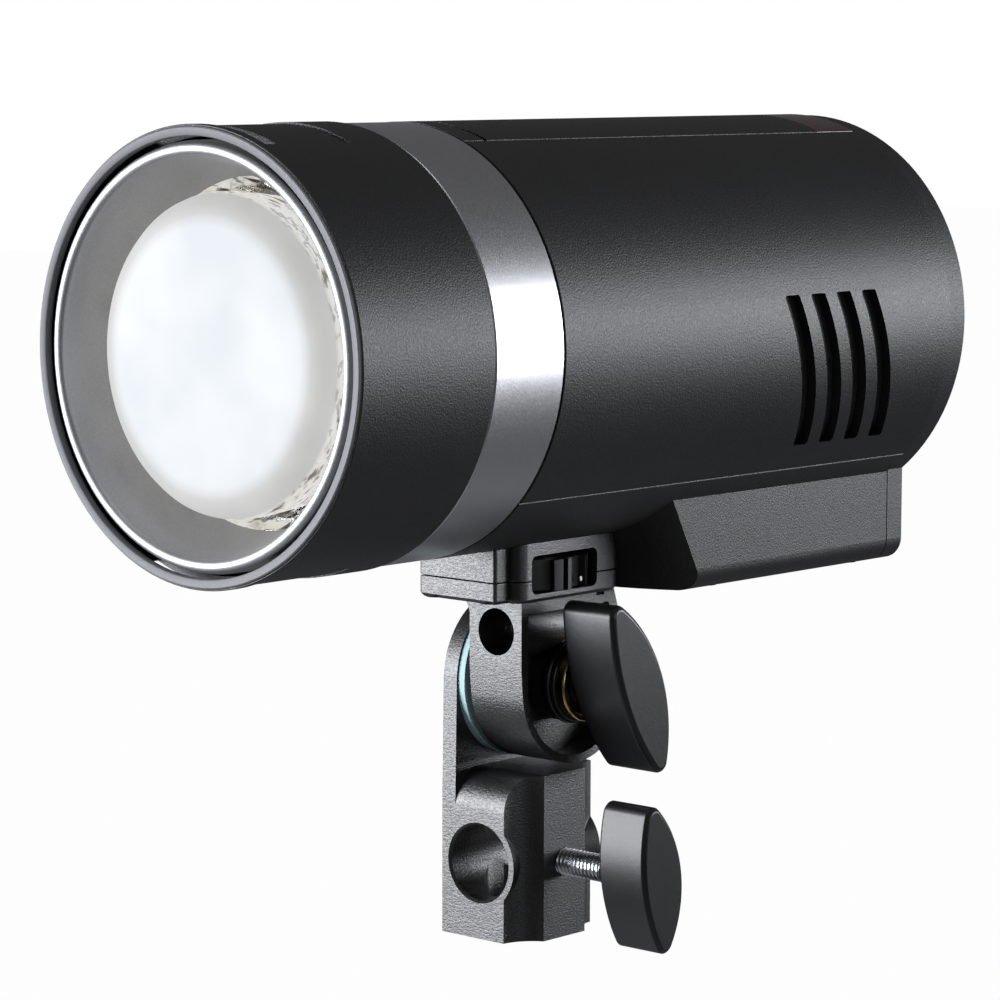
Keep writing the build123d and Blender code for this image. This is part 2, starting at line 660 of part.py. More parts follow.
def tilt_bracket():
    """Lower plate, neck, umbrella sleeve and cupped hinge drum, in one casting."""
    plate = Pos(0, 0, PLATE_BOTTOM) * extrude(plate_outline(), PLATE_SPLIT - PLATE_BOTTOM)
    plate = chamfer(plate.faces().sort_by(Axis.Z)[0].edges(), 0.8)
    outline = Pos(HINGE_Y, HINGE_Z) * Circle(DRUM_R) + make_face(Polyline(
        (HINGE_Y - DRUM_R, HINGE_Z - 1), (NECK_FRONT, HINGE_Z + 4), (NECK_FRONT, PLATE_BOTTOM + 1),
        (PLATE_REAR, PLATE_BOTTOM + 1), (HINGE_Y + DRUM_R * 0.985, HINGE_Z + 3), (HINGE_Y, HINGE_Z), close=True,
    ))
    neck = Pos(NECK_LEFT, 0, 0) * extrude(SIDE * outline, NECK_RIGHT - NECK_LEFT)
    body = plate + neck
    roots = body.edges().filter_by(
        lambda e: abs(e.center().Z - PLATE_BOTTOM) < 0.05 and abs(e.center().X - NECK_LEFT) < 0.05
    )
    body = fillet(roots, 4.0)
    recess = Pos(HINGE_Y, HINGE_Z) * Circle(CUP_R) + Pos(HINGE_Y, HINGE_Z + 8) * Rectangle(2 * CUP_R, 16)
    recess &= Pos(HINGE_Y, HINGE_Z) * Rectangle(80, 34.8)
    recess -= make_face(Polyline(
        (PLATE_REAR - 2.6, PLATE_BOTTOM + 1), (40, PLATE_BOTTOM + 1), (40, HINGE_Z), (HINGE_Y + CUP_R, HINGE_Z),
        close=True,
    ))
    cup = Pos(CUP_FLOOR, 0, 0) * extrude(SIDE * recess, 20)
    body -= cup
    body += rod_y(SLEEVE_R, NECK_FRONT + 0.4, HINGE_Y + 13, UMBRELLA_X, UMBRELLA_Z)
    body += rod_x(HUB_R, CUP_FLOOR - 0.5, HUB_FACE, HINGE_Y, HINGE_Z)
    body -= rod_x(SMALL_WASHER_R + SEAM, HUB_FACE, 20, HINGE_Y, HINGE_Z)
    body -= rod_x(WASHER_R + SEAM, WASHER_FACE - 0.2, 20, HINGE_Y, HINGE_Z)
    body += rod_x(BOSS_R, DISC_FACE + 0.1, NECK_LEFT + 0.5, HINGE_Y, HINGE_Z)
    body -= rod_y(UMBRELLA_R, NECK_FRONT - 5, HINGE_Y + 30, UMBRELLA_X, UMBRELLA_Z)
    body -= rod_x(BOLT_R + RUNNING, -20, 20, HINGE_Y, HINGE_Z)
    body -= wheel_space()
    body -= box_front_tool(SEAM)
    for x, y in bracket_screw_places():
        body -= rod_z(1.3, PLATE_BOTTOM - 1, PLATE_SPLIT + 1, x, y)
        body -= Pos(x, y, PLATE_BOTTOM + 0.6) * Cone(2.35, 1.25, 1.3)
    return body


def bracket_screws():
    screws = []
    for x, y in bracket_screw_places():
        head = Pos(x, y, PLATE_BOTTOM + 0.65) * Cone(2.25, 1.2, 1.2)
        screws.append(head + rod_z(1.2, PLATE_BOTTOM + 1, PLATE_SPLIT + 4.0, x, y))
    return Compound(children=screws)


def thumb_wheel():
    """Ribbed wheel between the plates."""
    wheel = rod_z(WHEEL_R - RIB_HEIGHT, WHEEL_BOTTOM, WHEEL_TOP, 0, WHEEL_Y)
    rib = Pos(WHEEL_R - RIB_HEIGHT, 0, (WHEEL_BOTTOM + WHEEL_TOP) / 2) * Box(
        2 * RIB_HEIGHT, RIB_WIDTH, WHEEL_TOP - WHEEL_BOTTOM - 0.8
    )
    rib &= rod_z(WHEEL_R, WHEEL_BOTTOM, WHEEL_TOP, 0, 0)
    for index in range(WHEEL_RIBS):
        wheel += Pos(0, WHEEL_Y, 0) * Rot(0, 0, (index + 0.5) * 360 / WHEEL_RIBS) * rib
    return wheel - rod_z(STUD_R, WHEEL_BOTTOM + 1, WHEEL_TOP + 1, 0, WHEEL_Y)


def wheel_stud():
    stud = rod_z(STUD_R, WHEEL_BOTTOM + 1, HEAD_Z - BODY_R + 8.0, 0, WHEEL_Y)
    return chamfer(stud.faces().sort_by(Axis.Z)[-1].edges(), 0.7)


# ---------------------------------------------------------------- receiver

DISC_R = 17.6
BOLT_HEAD_R = 7.0
SCOOP_R = 9.0
SCOOP_X, SCOOP_Y = 16.2, 14.6  # axis of the round cutter at each right corner
BOSS_WALL, BOSS_LENGTH = 1.9, 7.0
CROSS_RELIEF = 8.4  # the cross bore is eased between its two mouths


def stand_receiver():
    """Socket block with the hinge ear, both bores and the clamp screw's hole."""
    body = block(BLOCK_LEFT, BLOCK_RIGHT, -BLOCK_HALF_DEPTH, BLOCK_HALF_DEPTH, 0, BLOCK_HEIGHT)
    front_top = body.edges().filter_by(Axis.X).sort_by(lambda e: e.center().Z - e.center().Y)[-1]
    body = fillet(front_top, 8.0)
    # Both right corners are scooped out, and the cross bore's bosses stand in the scoops
    for side in (-1, 1):
        scoop = Pos(SCOOP_X, side * SCOOP_Y, -1) * extrude(Circle(SCOOP_R), BLOCK_HEIGHT + 2)
        body -= scoop
        mouth = Plane(origin=(0, side * BLOCK_HALF_DEPTH, CROSS_Z), z_dir=(0, -side, 0))
        boss = mouth * Pos(0, 0, BOSS_LENGTH / 2) * Cone(CROSS_R + BOSS_WALL, CROSS_R - 1, BOSS_LENGTH)
        body += boss & block(0, BLOCK_RIGHT, -BLOCK_HALF_DEPTH, BLOCK_HALF_DEPTH, 0, BLOCK_HEIGHT)
    # Ear: rounded about the hinge, running down into the block
    start = HINGE_Z - EAR_R
    ear = Pos(HINGE_Y, HINGE_Z) * Circle(EAR_R) + make_face(Polyline(
        (HINGE_Y - EAR_R, HINGE_Z), (-BLOCK_HALF_DEPTH, BLOCK_HEIGHT - 6), (-BLOCK_HALF_DEPTH, 8),
        (BLOCK_HALF_DEPTH, 8), (BLOCK_HALF_DEPTH, start - 6), (HINGE_Y + EAR_R * 0.95, HINGE_Z - EAR_R * 0.31),
        (HINGE_Y, HINGE_Z), close=True,
    ))
    body += Pos(EAR_LEFT, 0, 0) * extrude(SIDE * ear, EAR_RIGHT - EAR_LEFT)
    # Bores
    body -= rod_z(SPIGOT_R, -1, SPIGOT_DEPTH, 0, 0)
    body -= rod_y(CROSS_R, -20, 20, 0, CROSS_Z)
    body -= rod_y(CROSS_R + 0.3, -CROSS_RELIEF, CROSS_RELIEF, 0, CROSS_Z)
    for side in (-1, 1):
        mouth = Plane(origin=(0, side * (BLOCK_HALF_DEPTH - 0.25), CROSS_Z), z_dir=(0, -side, 0))
        body -= mouth * Cone(CROSS_R + 0.6, CROSS_R, 0.6)
    body -= rod_x(SCREW_R + RUNNING, 5, 20, 0, CROSS_Z)
    body -= rod_x(BOLT_R, -20, 0, HINGE_Y, HINGE_Z)
    return body


def friction_disc():
    disc = rod_x(DISC_R, EAR_RIGHT, DISC_FACE, HINGE_Y, HINGE_Z)
    return disc - rod_x(BOLT_R + RUNNING, -20, 0, HINGE_Y, HINGE_Z)


def tilt_bolt():
    """Hinge bolt, fixed in the ear, with a domed socket head."""
    shaft = rod_x(BOLT_R, EAR_LEFT - 0.5, NUT_REAR, HINGE_Y, HINGE_Z)
    head = rod_x(BOLT_HEAD_R, EAR_LEFT - 2.6, EAR_LEFT, HINGE_Y, HINGE_Z)
    head = chamfer(head.faces().sort_by(Axis.X)[0].edges(), 1.0)
    hexagon = Plane(origin=(EAR_LEFT - 3, HINGE_Y, HINGE_Z), x_dir=(0, 1, 0), z_dir=(1, 0, 0)) * RegularPolygon(2.9, 6)
    return head + shaft - extrude(hexagon, 2.4)


# ---------------------------------------------------------------- handles

HANDLE_HUB_R = 5.2
TILT_HANDLE = {
    "y": HINGE_Y, "z": HINGE_Z + 0.8, "left": 15.6, "right": 30.2, "length": 44.6, "width": 13.4, "turn": 23.0,
}
LOCK_HANDLE = {"y": 0.0, "z": CROSS_Z, "left": 26.6, "right": 39.5, "length": 35.4, "width": 12.6, "turn": 8.4}
WING_FRONT_SHARE = 0.36  # share of a wing's width that lies in front of the line between its tips


def wing(shape):
    """Lens-shaped wing handle, flatter in front, its top leaning forward."""
    plane = Plane(origin=(shape["left"], shape["y"], shape["z"]), x_dir=(0, 1, 0), z_dir=(1, 0, 0))
    half, edge = shape["length"] / 2, shape["width"] / 2
    tip = -edge + shape["width"] * WING_FRONT_SHARE
    outline = make_face([
        ThreePointArc((tip, -half), (-edge, 0), (tip, half)), ThreePointArc((tip, half), (edge, 0), (tip, -half))
    ])
    outline = Rot(0, 0, shape["turn"]) * fillet(outline.vertices(), 2.5)
    body = extrude(plane * outline, shape["right"] - shape["left"])
    body = chamfer(body.faces().sort_by(Axis.X)[0].edges(), 1.0)
    return chamfer(body.faces().sort_by(Axis.X)[-1].edges(), 0.8)


def tilt_handle():
    hub = rod_x(HANDLE_HUB_R, NUT_FRONT + 1.1, TILT_HANDLE["left"] + 1, HINGE_Y, HINGE_Z)
    return wing(TILT_HANDLE) + hub - rod_x(BOLT_R + RUNNING, 5, 18, HINGE_Y, HINGE_Z)


def tilt_nut():
    """Brass nut cupped around the handle's hub."""
    nut = rod_x(NUT_R, NUT_FRONT, NUT_REAR, HINGE_Y, HINGE_Z)
    nut = chamfer(nut.faces().sort_by(Axis.X)[-1].edges(), 0.4)
    nut -= rod_x(HANDLE_HUB_R + 0.05, NUT_FRONT + 1.0, NUT_REAR + 1, HINGE_Y, HINGE_Z)
    return nut - rod_x(BOLT_R + RUNNING, 5, 18, HINGE_Y, HINGE_Z)


def tilt_washers():
    """Thrust washer, plain washer and spring washer under the brass nut."""
    hole = rod_x(BOLT_R + RUNNING, HUB_FACE - 1, NUT_REAR, HINGE_Y, HINGE_Z)
    stack = [
        (SMALL_WASHER_R, HUB_FACE + 0.1, WASHER_FACE - 0.3),
        (WASHER_R, WASHER_FACE, WASHER_FACE + 1.05),
        (WASHER_R - 0.5, WASHER_FACE + 1.15, NUT_FRONT - 0.05),
    ]
    rings = [rod_x(radius, left, right, HINGE_Y, HINGE_Z) - hole for radius, left, right in stack]
    return Compound(children=rings)


PAD_FACE = 8.3
SCREW_END = 33.0


def lock_handle():
    collar = Plane(origin=(LOCK_HANDLE["left"] - 1.0, 0, CROSS_Z), z_dir=(1, 0, 0)) * Cone(3.5, 5.0, 2.4)
    return wing(LOCK_HANDLE) + collar - rod_x(SCREW_R, 20, SCREW_END + 0.5, 0, CROSS_Z)


def lock_screw():
    return rod_x(SCREW_R, PAD_FACE + 1.2, SCREW_END, 0, CROSS_Z)


def clamp_pad():
    """Soft tip that presses on the spigot."""
    return rod_x(2.6, PAD_FACE, PAD_FACE + 1.1, 0, CROSS_Z)


def box_screw_places():
    return [(side * 22.0, FRONT_Y + distance) for side in (-1, 1) for distance in (130.0, 180.0)]


def box_screws():
    """Countersunk screws in the floor of the battery box."""
    floor = HEAD_Z - BOX_DEPTH
    return Compound(children=[Pos(x, y, floor + 0.7) * Cone(2.4, 1.3, 1.2) for x, y in box_screw_places()])


# ---------------------------------------------------------------- all pieces

parts["front_barrel"] = front_barrel()
parts["front_rim"] = front_rim()
parts["reflector"] = reflector()
parts["reflector_cup"] = reflector_cup()
parts["frosted_dome"] = frosted_dome()
parts["dome_clips"] = dome_clips()
parts["lamp_socket"] = lamp_socket()
parts["flash_tube"] = flash_tube()
parts["lamp_module"] = lamp_module()
parts["accessory_ring"] = accessory_ring()
parts["head_core"] = head_core()
parts["right_side_shell"] = side_shell()
parts["left_side_shell"] = left_side_shell()
parts["right_vent_screen"] = vent_screen()
parts["left_vent_screen"] = mirror(vent_screen(), about=Plane.YZ)
parts["port_cover"] = port_cover()
parts["port_block"] = port_block()
parts["top_strip"] = top_strip()
parts["sensor_window"] = sensor_window()
parts["bottom_shell"] = bottom_shell()
parts["tripod_bush"] = tripod_bush()
parts["box_screws"] = box_screws()
parts["rear_cover"] = rear_cover()
for number, place in enumerate(button_places()[:BUTTON_COUNT], start=1):
    parts[f"function_button_{number}"] = push_button(place, 0.9)
parts["test_button"] = push_button(button_places()[BUTTON_COUNT], 1.1)
parts["power_button"] = push_button(button_places()[BUTTON_COUNT + 1], 1.1)
parts["set_button"] = push_button(button_places()[-1], 3.6)
parts["control_dial"] = control_dial()
parts["display_window"] = display_window()
parts["display_module"] = display_module()
parts["battery_pack"] = battery_pack()
parts["battery_latch"] = battery_latch()
parts["battery_contacts"] = battery_contacts()
for number, (x, z) in enumerate(CAPACITOR_PLACES, start=1):
    parts[f"flash_capacitor_{number}"] = flash_capacitor(x, z)
parts["main_board"] = main_board()
parts["power_board"] = power_board()
parts["fan_frame"] = fan_frame()
parts["fan_impeller"] = fan_impeller()
parts["bracket_saddle"] = bracket_saddle()
parts["tilt_bracket"] = tilt_bracket()
parts["bracket_screws"] = bracket_screws()
parts["thumb_wheel"] = thumb_wheel()
parts["wheel_stud"] = wheel_stud()
parts["stand_receiver"] = stand_receiver()
parts["friction_disc"] = friction_disc()
parts["tilt_bolt"] = tilt_bolt()
parts["tilt_handle"] = tilt_handle()
parts["tilt_nut"] = tilt_nut()
parts["tilt_washers"] = tilt_washers()
parts["lock_handle"] = lock_handle()
parts["lock_screw"] = lock_screw()
parts["clamp_pad"] = clamp_pad()

for node, shape in parts.items():
    export_step(shape, f"parts/{node}.step")
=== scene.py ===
import json
import math

import bpy
from mathutils import Matrix, Vector


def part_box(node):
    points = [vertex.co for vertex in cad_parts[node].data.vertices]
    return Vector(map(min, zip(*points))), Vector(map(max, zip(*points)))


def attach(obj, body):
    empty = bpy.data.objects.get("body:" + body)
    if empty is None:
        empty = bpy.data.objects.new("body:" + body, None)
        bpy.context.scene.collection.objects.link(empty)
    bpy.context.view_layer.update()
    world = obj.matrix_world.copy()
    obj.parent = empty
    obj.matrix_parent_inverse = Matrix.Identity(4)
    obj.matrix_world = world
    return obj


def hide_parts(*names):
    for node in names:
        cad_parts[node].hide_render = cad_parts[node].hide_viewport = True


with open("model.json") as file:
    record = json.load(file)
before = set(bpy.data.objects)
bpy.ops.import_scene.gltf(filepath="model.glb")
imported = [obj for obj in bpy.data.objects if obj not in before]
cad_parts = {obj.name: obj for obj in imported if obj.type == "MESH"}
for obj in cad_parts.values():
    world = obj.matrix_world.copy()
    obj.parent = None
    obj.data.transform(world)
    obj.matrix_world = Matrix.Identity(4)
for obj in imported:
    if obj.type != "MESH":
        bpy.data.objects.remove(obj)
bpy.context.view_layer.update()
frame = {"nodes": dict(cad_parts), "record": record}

# Battery monolight strobe on its stand bracket. Metres, +Z up. The lamp points along -Y.
# Head distances run back from the front rim along the head's axis.

MM = 0.001
NODES = frame["nodes"]
BODY_OF = {node: body for body, nodes in frame["record"]["behaviour"]["bodies"].items() for node in nodes}

rim_low, rim_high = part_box("front_rim")
FRONT_Y = rim_low.y
HEAD_Z = (rim_low.z + rim_high.z) / 2
HINGE_Z = (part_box("friction_disc")[0].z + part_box("friction_disc")[1].z) / 2
HINGE_Y = (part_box("friction_disc")[0].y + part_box("friction_disc")[1].y) / 2


# ---------------------------------------------------------------- working by hand


def deselect():
    if bpy.context.object and bpy.context.object.mode != "OBJECT":
        bpy.ops.object.mode_set(mode="OBJECT")
    bpy.ops.object.select_all(action="DESELECT")


def select_only(piece):
    deselect()
    piece.select_set(True)
    bpy.context.view_layer.objects.active = piece


def on_axis(distance):
    """Point on the head's axis, at a distance in millimetres behind the front rim."""
    return Vector((0, FRONT_Y + distance * MM, HEAD_Z))


def settle(piece, name, smooth_angle=35):
    """Puts the piece's place into its mesh, mends its normals and smooths its round faces."""
    select_only(piece)
    bpy.ops.object.transform_apply(location=True, rotation=True, scale=True)
    bpy.ops.object.mode_set(mode="EDIT")
    bpy.ops.mesh.select_all(action="SELECT")
    bpy.ops.mesh.remove_doubles(threshold=0.000002)
    bpy.ops.mesh.normals_make_consistent(inside=False)
    bpy.ops.object.mode_set(mode="OBJECT")
    bpy.ops.object.shade_smooth_by_angle(angle=math.radians(smooth_angle))
    piece.name = name
    piece.data.name = name
    return piece


def stands_for(piece, node, material):
    """The piece takes the CAD node's place, body and slot."""
    piece.data.materials.clear()
    piece.data.materials.append(material)
    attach(piece, BODY_OF[node])
    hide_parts(node)
    return piece


def added(piece, body, material):
    """A piece that no CAD node stands for."""
    piece.data.materials.clear()
    piece.data.materials.append(material)
    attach(piece, body)
    return piece


def merged_copy(node, name, smooth_angle=32):
    """Copy of a CAD node with its loose triangles joined, so that it can be smoothed and bevelled."""
    deselect()
    piece = NODES[node].copy()
    piece.data = NODES[node].data.copy()
    for key in list(piece.keys()):
        del piece[key]
    piece.parent = None
    bpy.context.collection.objects.link(piece)
    select_only(piece)
    bpy.ops.object.mode_set(mode="EDIT")
    bpy.ops.mesh.select_all(action="SELECT")
    bpy.ops.mesh.customdata_custom_splitnormals_clear()
    bpy.ops.mesh.remove_doubles(threshold=0.000004)
    bpy.ops.mesh.dissolve_limited(angle_limit=math.radians(0.3))
    bpy.ops.object.mode_set(mode="OBJECT")
    bpy.ops.object.shade_smooth_by_angle(angle=math.radians(smooth_angle))
    piece.name = name
    piece.data.name = name
    return piece


def chain(points):
    """Loose line of edges through the points, left in edit mode and selected."""
    deselect()
    bpy.ops.mesh.primitive_plane_add(size=0.01, location=(0, 0, 0))
    bpy.ops.object.mode_set(mode="EDIT")
    bpy.ops.mesh.select_mode(type="VERT")
    bpy.ops.mesh.select_all(action="SELECT")
    bpy.ops.mesh.merge(type="CENTER")
    bpy.ops.transform.translate(value=points[0])
    for start, end in zip(points, points[1:]):
        bpy.ops.mesh.extrude_region_move(TRANSFORM_OT_translate={"value": end - start})
    return bpy.context.object


def turned(name, profile, origin, axis, steps=96, smooth_angle=35):
    """Profile of (distance along the axis, radius) in millimetres, spun round the axis through the origin."""
    along = Vector(axis)
    out = Vector((0, 0, 1)) if abs(along.z) < 0.5 else Vector((1, 0, 0))
    points = [origin + along * distance * MM + out * radius * MM for distance, radius in profile]
    piece = chain(points)
    bpy.ops.mesh.select_all(action="SELECT")
    bpy.ops.mesh.spin(steps=steps, angle=math.tau, center=origin, axis=along)
    bpy.ops.object.mode_set(mode="OBJECT")
    return settle(piece, name, smooth_angle)


def rounded(piece, width, segments=3, angle=30):
    """Small rounding on every edge sharper than the angle."""
    select_only(piece)
    bevel = piece.modifiers.new("rounding", "BEVEL")
    bevel.width = width * MM
    bevel.segments = segments
    bevel.limit_method = "ANGLE"
    bevel.angle_limit = math.radians(angle)
    bevel.use_clamp_overlap = True
    bpy.ops.object.modifier_apply(modifier=bevel.name)
    bpy.ops.object.shade_smooth_by_angle(angle=math.radians(40))
    return piece


def joined(pieces, name):
    """One piece from several."""
    deselect()
    for piece in pieces:
        piece.select_set(True)
    bpy.context.view_layer.objects.active = pieces[0]
    bpy.ops.object.join()
    whole = bpy.context.object
    whole.name = name
    whole.data.name = name
    return whole


# ---------------------------------------------------------------- materials


def start_material(name):
    """New material with its shader, its node tree and a point in object space."""
    material = bpy.data.materials.new(name)
    material.use_nodes = True
    tree = material.node_tree
    shader = tree.nodes["Principled BSDF"]
    place = tree.nodes.new("ShaderNodeTexCoord")
    return material, tree, shader, place.outputs["Object"]


def noise(tree, vector, scale, detail=4.0, roughness=0.6):
    node = tree.nodes.new("ShaderNodeTexNoise")
    node.inputs["Scale"].default_value = scale
    node.inputs["Detail"].default_value = detail
    node.inputs["Roughness"].default_value = roughness
    tree.links.new(vector, node.inputs["Vector"])
    return node.outputs["Fac"]


def stretched(tree, vector, scale):
    """Object space scaled unevenly, for brushed and turned marks."""
    node = tree.nodes.new("ShaderNodeMapping")
    node.inputs["Scale"].default_value = scale
    tree.links.new(vector, node.inputs["Vector"])
    return node.outputs["Vector"]


def spread(tree, value, low, high, from_low=0.0, from_high=1.0):
    """Value mapped from one range to another."""
    node = tree.nodes.new("ShaderNodeMapRange")
    node.inputs["From Min"].default_value = from_low
    node.inputs["From Max"].default_value = from_high
    node.inputs["To Min"].default_value = low
    node.inputs["To Max"].default_value = high
    tree.links.new(value, node.inputs["Value"])
    return node.outputs["Result"]


def ramp(tree, value, stops):
    """Colours along a value: (position, colour) stops."""
    node = tree.nodes.new("ShaderNodeValToRGB")
    elements = node.color_ramp.elements
    while len(elements) < len(stops):
        elements.new(0.5)
    for element, (position, colour) in zip(elements, stops):
        element.position = position
        element.color = (*colour, 1)
    tree.links.new(value, node.inputs["Fac"])
    return node.outputs["Color"]


def bump(tree, shader, height, strength, distance, normal=None):
    node = tree.nodes.new("ShaderNodeBump")
    node.inputs["Strength"].default_value = strength
    node.inputs["Distance"].default_value = distance
    tree.links.new(height, node.inputs["Height"])
    if normal:
        tree.links.new(normal, node.inputs["Normal"])
    tree.links.new(node.outputs["Normal"], shader.inputs["Normal"])
    return node.outputs["Normal"]


def paint(tree, shader, value, stops):
    """Base colour along a value."""
    tree.links.new(ramp(tree, value, stops), shader.inputs["Base Color"])


def roughen(tree, shader, value, low, high, from_low=0.3, from_high=0.7):
    """Roughness that follows a noise."""
    tree.links.new(spread(tree, value, low, high, from_low, from_high), shader.inputs["Roughness"])


def grey(value):
    return (value, value, value * 1.04)


def moulded_black(name, dark, light, grain, strength, rough_low, rough_high):
    """Satin moulded plastic with a fine spark-eroded grain."""
    material, tree, shader, place = start_material(name)
    fine = noise(tree, place, grain, 2.0, 0.5)
    broad = noise(tree, place, 40, 3.0, 0.6)
    paint(tree, shader, broad, [(0.3, grey(dark)), (0.7, grey(light))])
    roughen(tree, shader, fine, rough_low, rough_high)
    bump(tree, shader, fine, strength, 0.0001)
    shader.inputs["Specular IOR Level"].default_value = 0.45
    return material


def brushed_metal(name, dark, light, scale, roughness, strength=0.06):
    """Aluminium with fine marks, drawn out where the scale is uneven."""
    material, tree, shader, place = start_material(name)
    marks = noise(tree, stretched(tree, place, scale), 1.0, 5.0, 0.65)
    paint(tree, shader, marks, [(0.35, grey(dark)), (0.65, grey(light))])
    roughen(tree, shader, marks, roughness - 0.06, roughness + 0.08)
    shader.inputs["Metallic"].default_value = 1.0
    bump(tree, shader, marks, strength, 0.00004)
    return material


def wrinkle_coat(name):
    """Powder coat on cast metal: leathery wrinkles under a dull gloss."""
    material, tree, shader, place = start_material(name)
    wrinkle = noise(tree, stretched(tree, place, (0.7, 1, 1.5)), 1900, 3.0, 0.55)
    broad = noise(tree, place, 60, 3.0, 0.6)
    paint(tree, shader, broad, [(0.3, grey(0.008)), (0.7, grey(0.013))])
    roughen(tree, shader, wrinkle, 0.3, 0.44, 0.35, 0.65)
    bump(tree, shader, wrinkle, 0.6, 0.00014)
    shader.inputs["Specular IOR Level"].default_value = 0.8
    return material


def hammered_silver(name):
    """Polished reflector metal with soft pressed dents and a warm tint in the hollows."""
    material, tree, shader, place = start_material(name)
    dents = noise(tree, place, 210, 1.0, 0.4)
    marks = noise(tree, place, 900, 3.0, 0.6)
    paint(tree, shader, dents, [(0.35, (0.93, 0.90, 0.80)), (0.6, (0.96, 0.96, 0.96))])
    roughen(tree, shader, marks, 0.07, 0.16)
    shader.inputs["Metallic"].default_value = 1.0
    bump(tree, shader, dents, 0.6, 0.0016)
    return material


def from_axis(tree, place):
    """Distance from the head's axis, in millimetres."""
    flat = tree.nodes.new("ShaderNodeMapping")
    flat.inputs["Location"].default_value = (0, 0, -HEAD_Z / MM)
    flat.inputs["Scale"].default_value = (1 / MM, 0, 1 / MM)
    tree.links.new(place, flat.inputs["Vector"])
    away = tree.nodes.new("ShaderNodeVectorMath")
    away.operation = "LENGTH"
    tree.links.new(flat.outputs["Vector"], away.inputs[0])
    return away.outputs["Value"]


def blended(tree, share, first, second):
    """Two colours mixed by a share between 0 and 1."""
    node = tree.nodes.new("ShaderNodeMix")
    node.data_type = "RGBA"
    node.blend_type = "MIX"
    tree.links.new(share, node.inputs["Factor"])
    tree.links.new(first, node.inputs[6])
    tree.links.new(second, node.inputs[7])
    return node.outputs[2]


# On the cap, in millimetres: the painted glow's bright face fades into the dimmer, greyer painted glow of the
# shoulder between two distances from the axis, and the frosting with its painted glow ends between two
# distances behind the front rim, where the skirt's painted glints begin.
FACE_EDGE, SHOULDER_START = 25.4, 28.0
FROST_END, SKIRT_START = 7.2, 8.2


def frosted_glass_painted_glow(name):
    """Thick frosted glass with a painted glow, though it is no lamp: bright cloudy middle, greyer painted
    shade on the shoulder, clear skirt full of painted glints.
    """
    material, tree, shader, place = start_material(name)
    clouds = noise(tree, place, 48, 2.0, 0.5)
    fine = noise(tree, place, 5000, 2.0, 0.5)
    paint(tree, shader, clouds, [(0.3, (0.10, 0.10, 0.10)), (0.7, (0.13, 0.13, 0.13))])
    # Painted glow colours: a bright cloudy middle, and a dimmer, greyer shoulder that is painted shade.
    middle = ramp(tree, clouds, [(0.34, (0.82, 0.87, 0.92)), (0.66, (0.94, 0.97, 1.0))])
    shaded_glow_shoulder = ramp(tree, clouds, [(0.3, (0.66, 0.66, 0.64)), (0.7, (0.76, 0.76, 0.74))])
    outward = spread(tree, from_axis(tree, place), 0.0, 1.0, FACE_EDGE, SHOULDER_START)
    face = blended(tree, outward, middle, shaded_glow_shoulder)
    # Painted glints: bright streaks put into the glow colour of the clear skirt.
    painted_glint_noise = noise(tree, stretched(tree, place, (160, 420, 160)), 1.0, 3.0, 0.6)
    painted_glint_skirt = ramp(tree, painted_glint_noise, [
        (0.36, (0.20, 0.20, 0.18)), (0.44, (0.95, 0.93, 0.84)), (0.56, (1.0, 1.0, 1.0)),
        (0.6, (0.45, 0.45, 0.44)), (0.66, (1.0, 1.0, 0.98)),
    ])
    depth = tree.nodes.new("ShaderNodeSeparateXYZ")
    tree.links.new(place, depth.inputs["Vector"])
    deep = spread(tree, depth.outputs["Y"], 0.0, 1.0, FRONT_Y + FROST_END * MM, FRONT_Y + SKIRT_START * MM)
    # The glow colour goes into emission, so the cap glows though it is no lamp.
    tree.links.new(blended(tree, deep, face, painted_glint_skirt), shader.inputs["Emission Color"])
    shader.inputs["Emission Strength"].default_value = 0.7
    shader.inputs["Roughness"].default_value = 0.55
    shader.inputs["Specular IOR Level"].default_value = 0.3
    bump(tree, shader, fine, 0.1, 0.00005)
    return material


def plain_gloss(name, colour, roughness, metallic=0.0, variation=0.15, scale=300, strength=0.05):
    """Smooth finish with a slight unevenness."""
    material, tree, shader, place = start_material(name)
    drift = noise(tree, place, scale, 4.0, 0.6)
    low = tuple(channel * (1 - variation) for channel in colour)
    high = tuple(min(1, channel * (1 + variation)) for channel in colour)
    paint(tree, shader, drift, [(0.3, low), (0.7, high)])
    roughen(tree, shader, drift, roughness * 0.8, roughness * 1.2)
    shader.inputs["Metallic"].default_value = metallic
    bump(tree, shader, drift, strength, 0.00005)
    return material


SHELL = moulded_black("moulded_charcoal", 0.0085, 0.0115, 2600, 0.8, 0.38, 0.5)
# The battery box uses the shell's moulding painted a little lighter: painted light standing in for light
# bounced up from the floor.
BOX_SHELL_PAINTED_LIGHTER = moulded_black("moulded_charcoal_box_painted_lighter", 0.01, 0.014, 2600, 0.8, 0.42, 0.52)
RING = brushed_metal("brushed_ring", 0.54, 0.6, (2600, 4200, 2600), 0.34, 0.1)
RIM = brushed_metal("turned_rim", 0.19, 0.24, (1500, 9000, 1500), 0.72)
BOWL = brushed_metal("spun_reflector", 0.34, 0.46, (3200, 3600, 3200), 0.5, 0.3)
HAMMERED = hammered_silver("hammered_reflector")
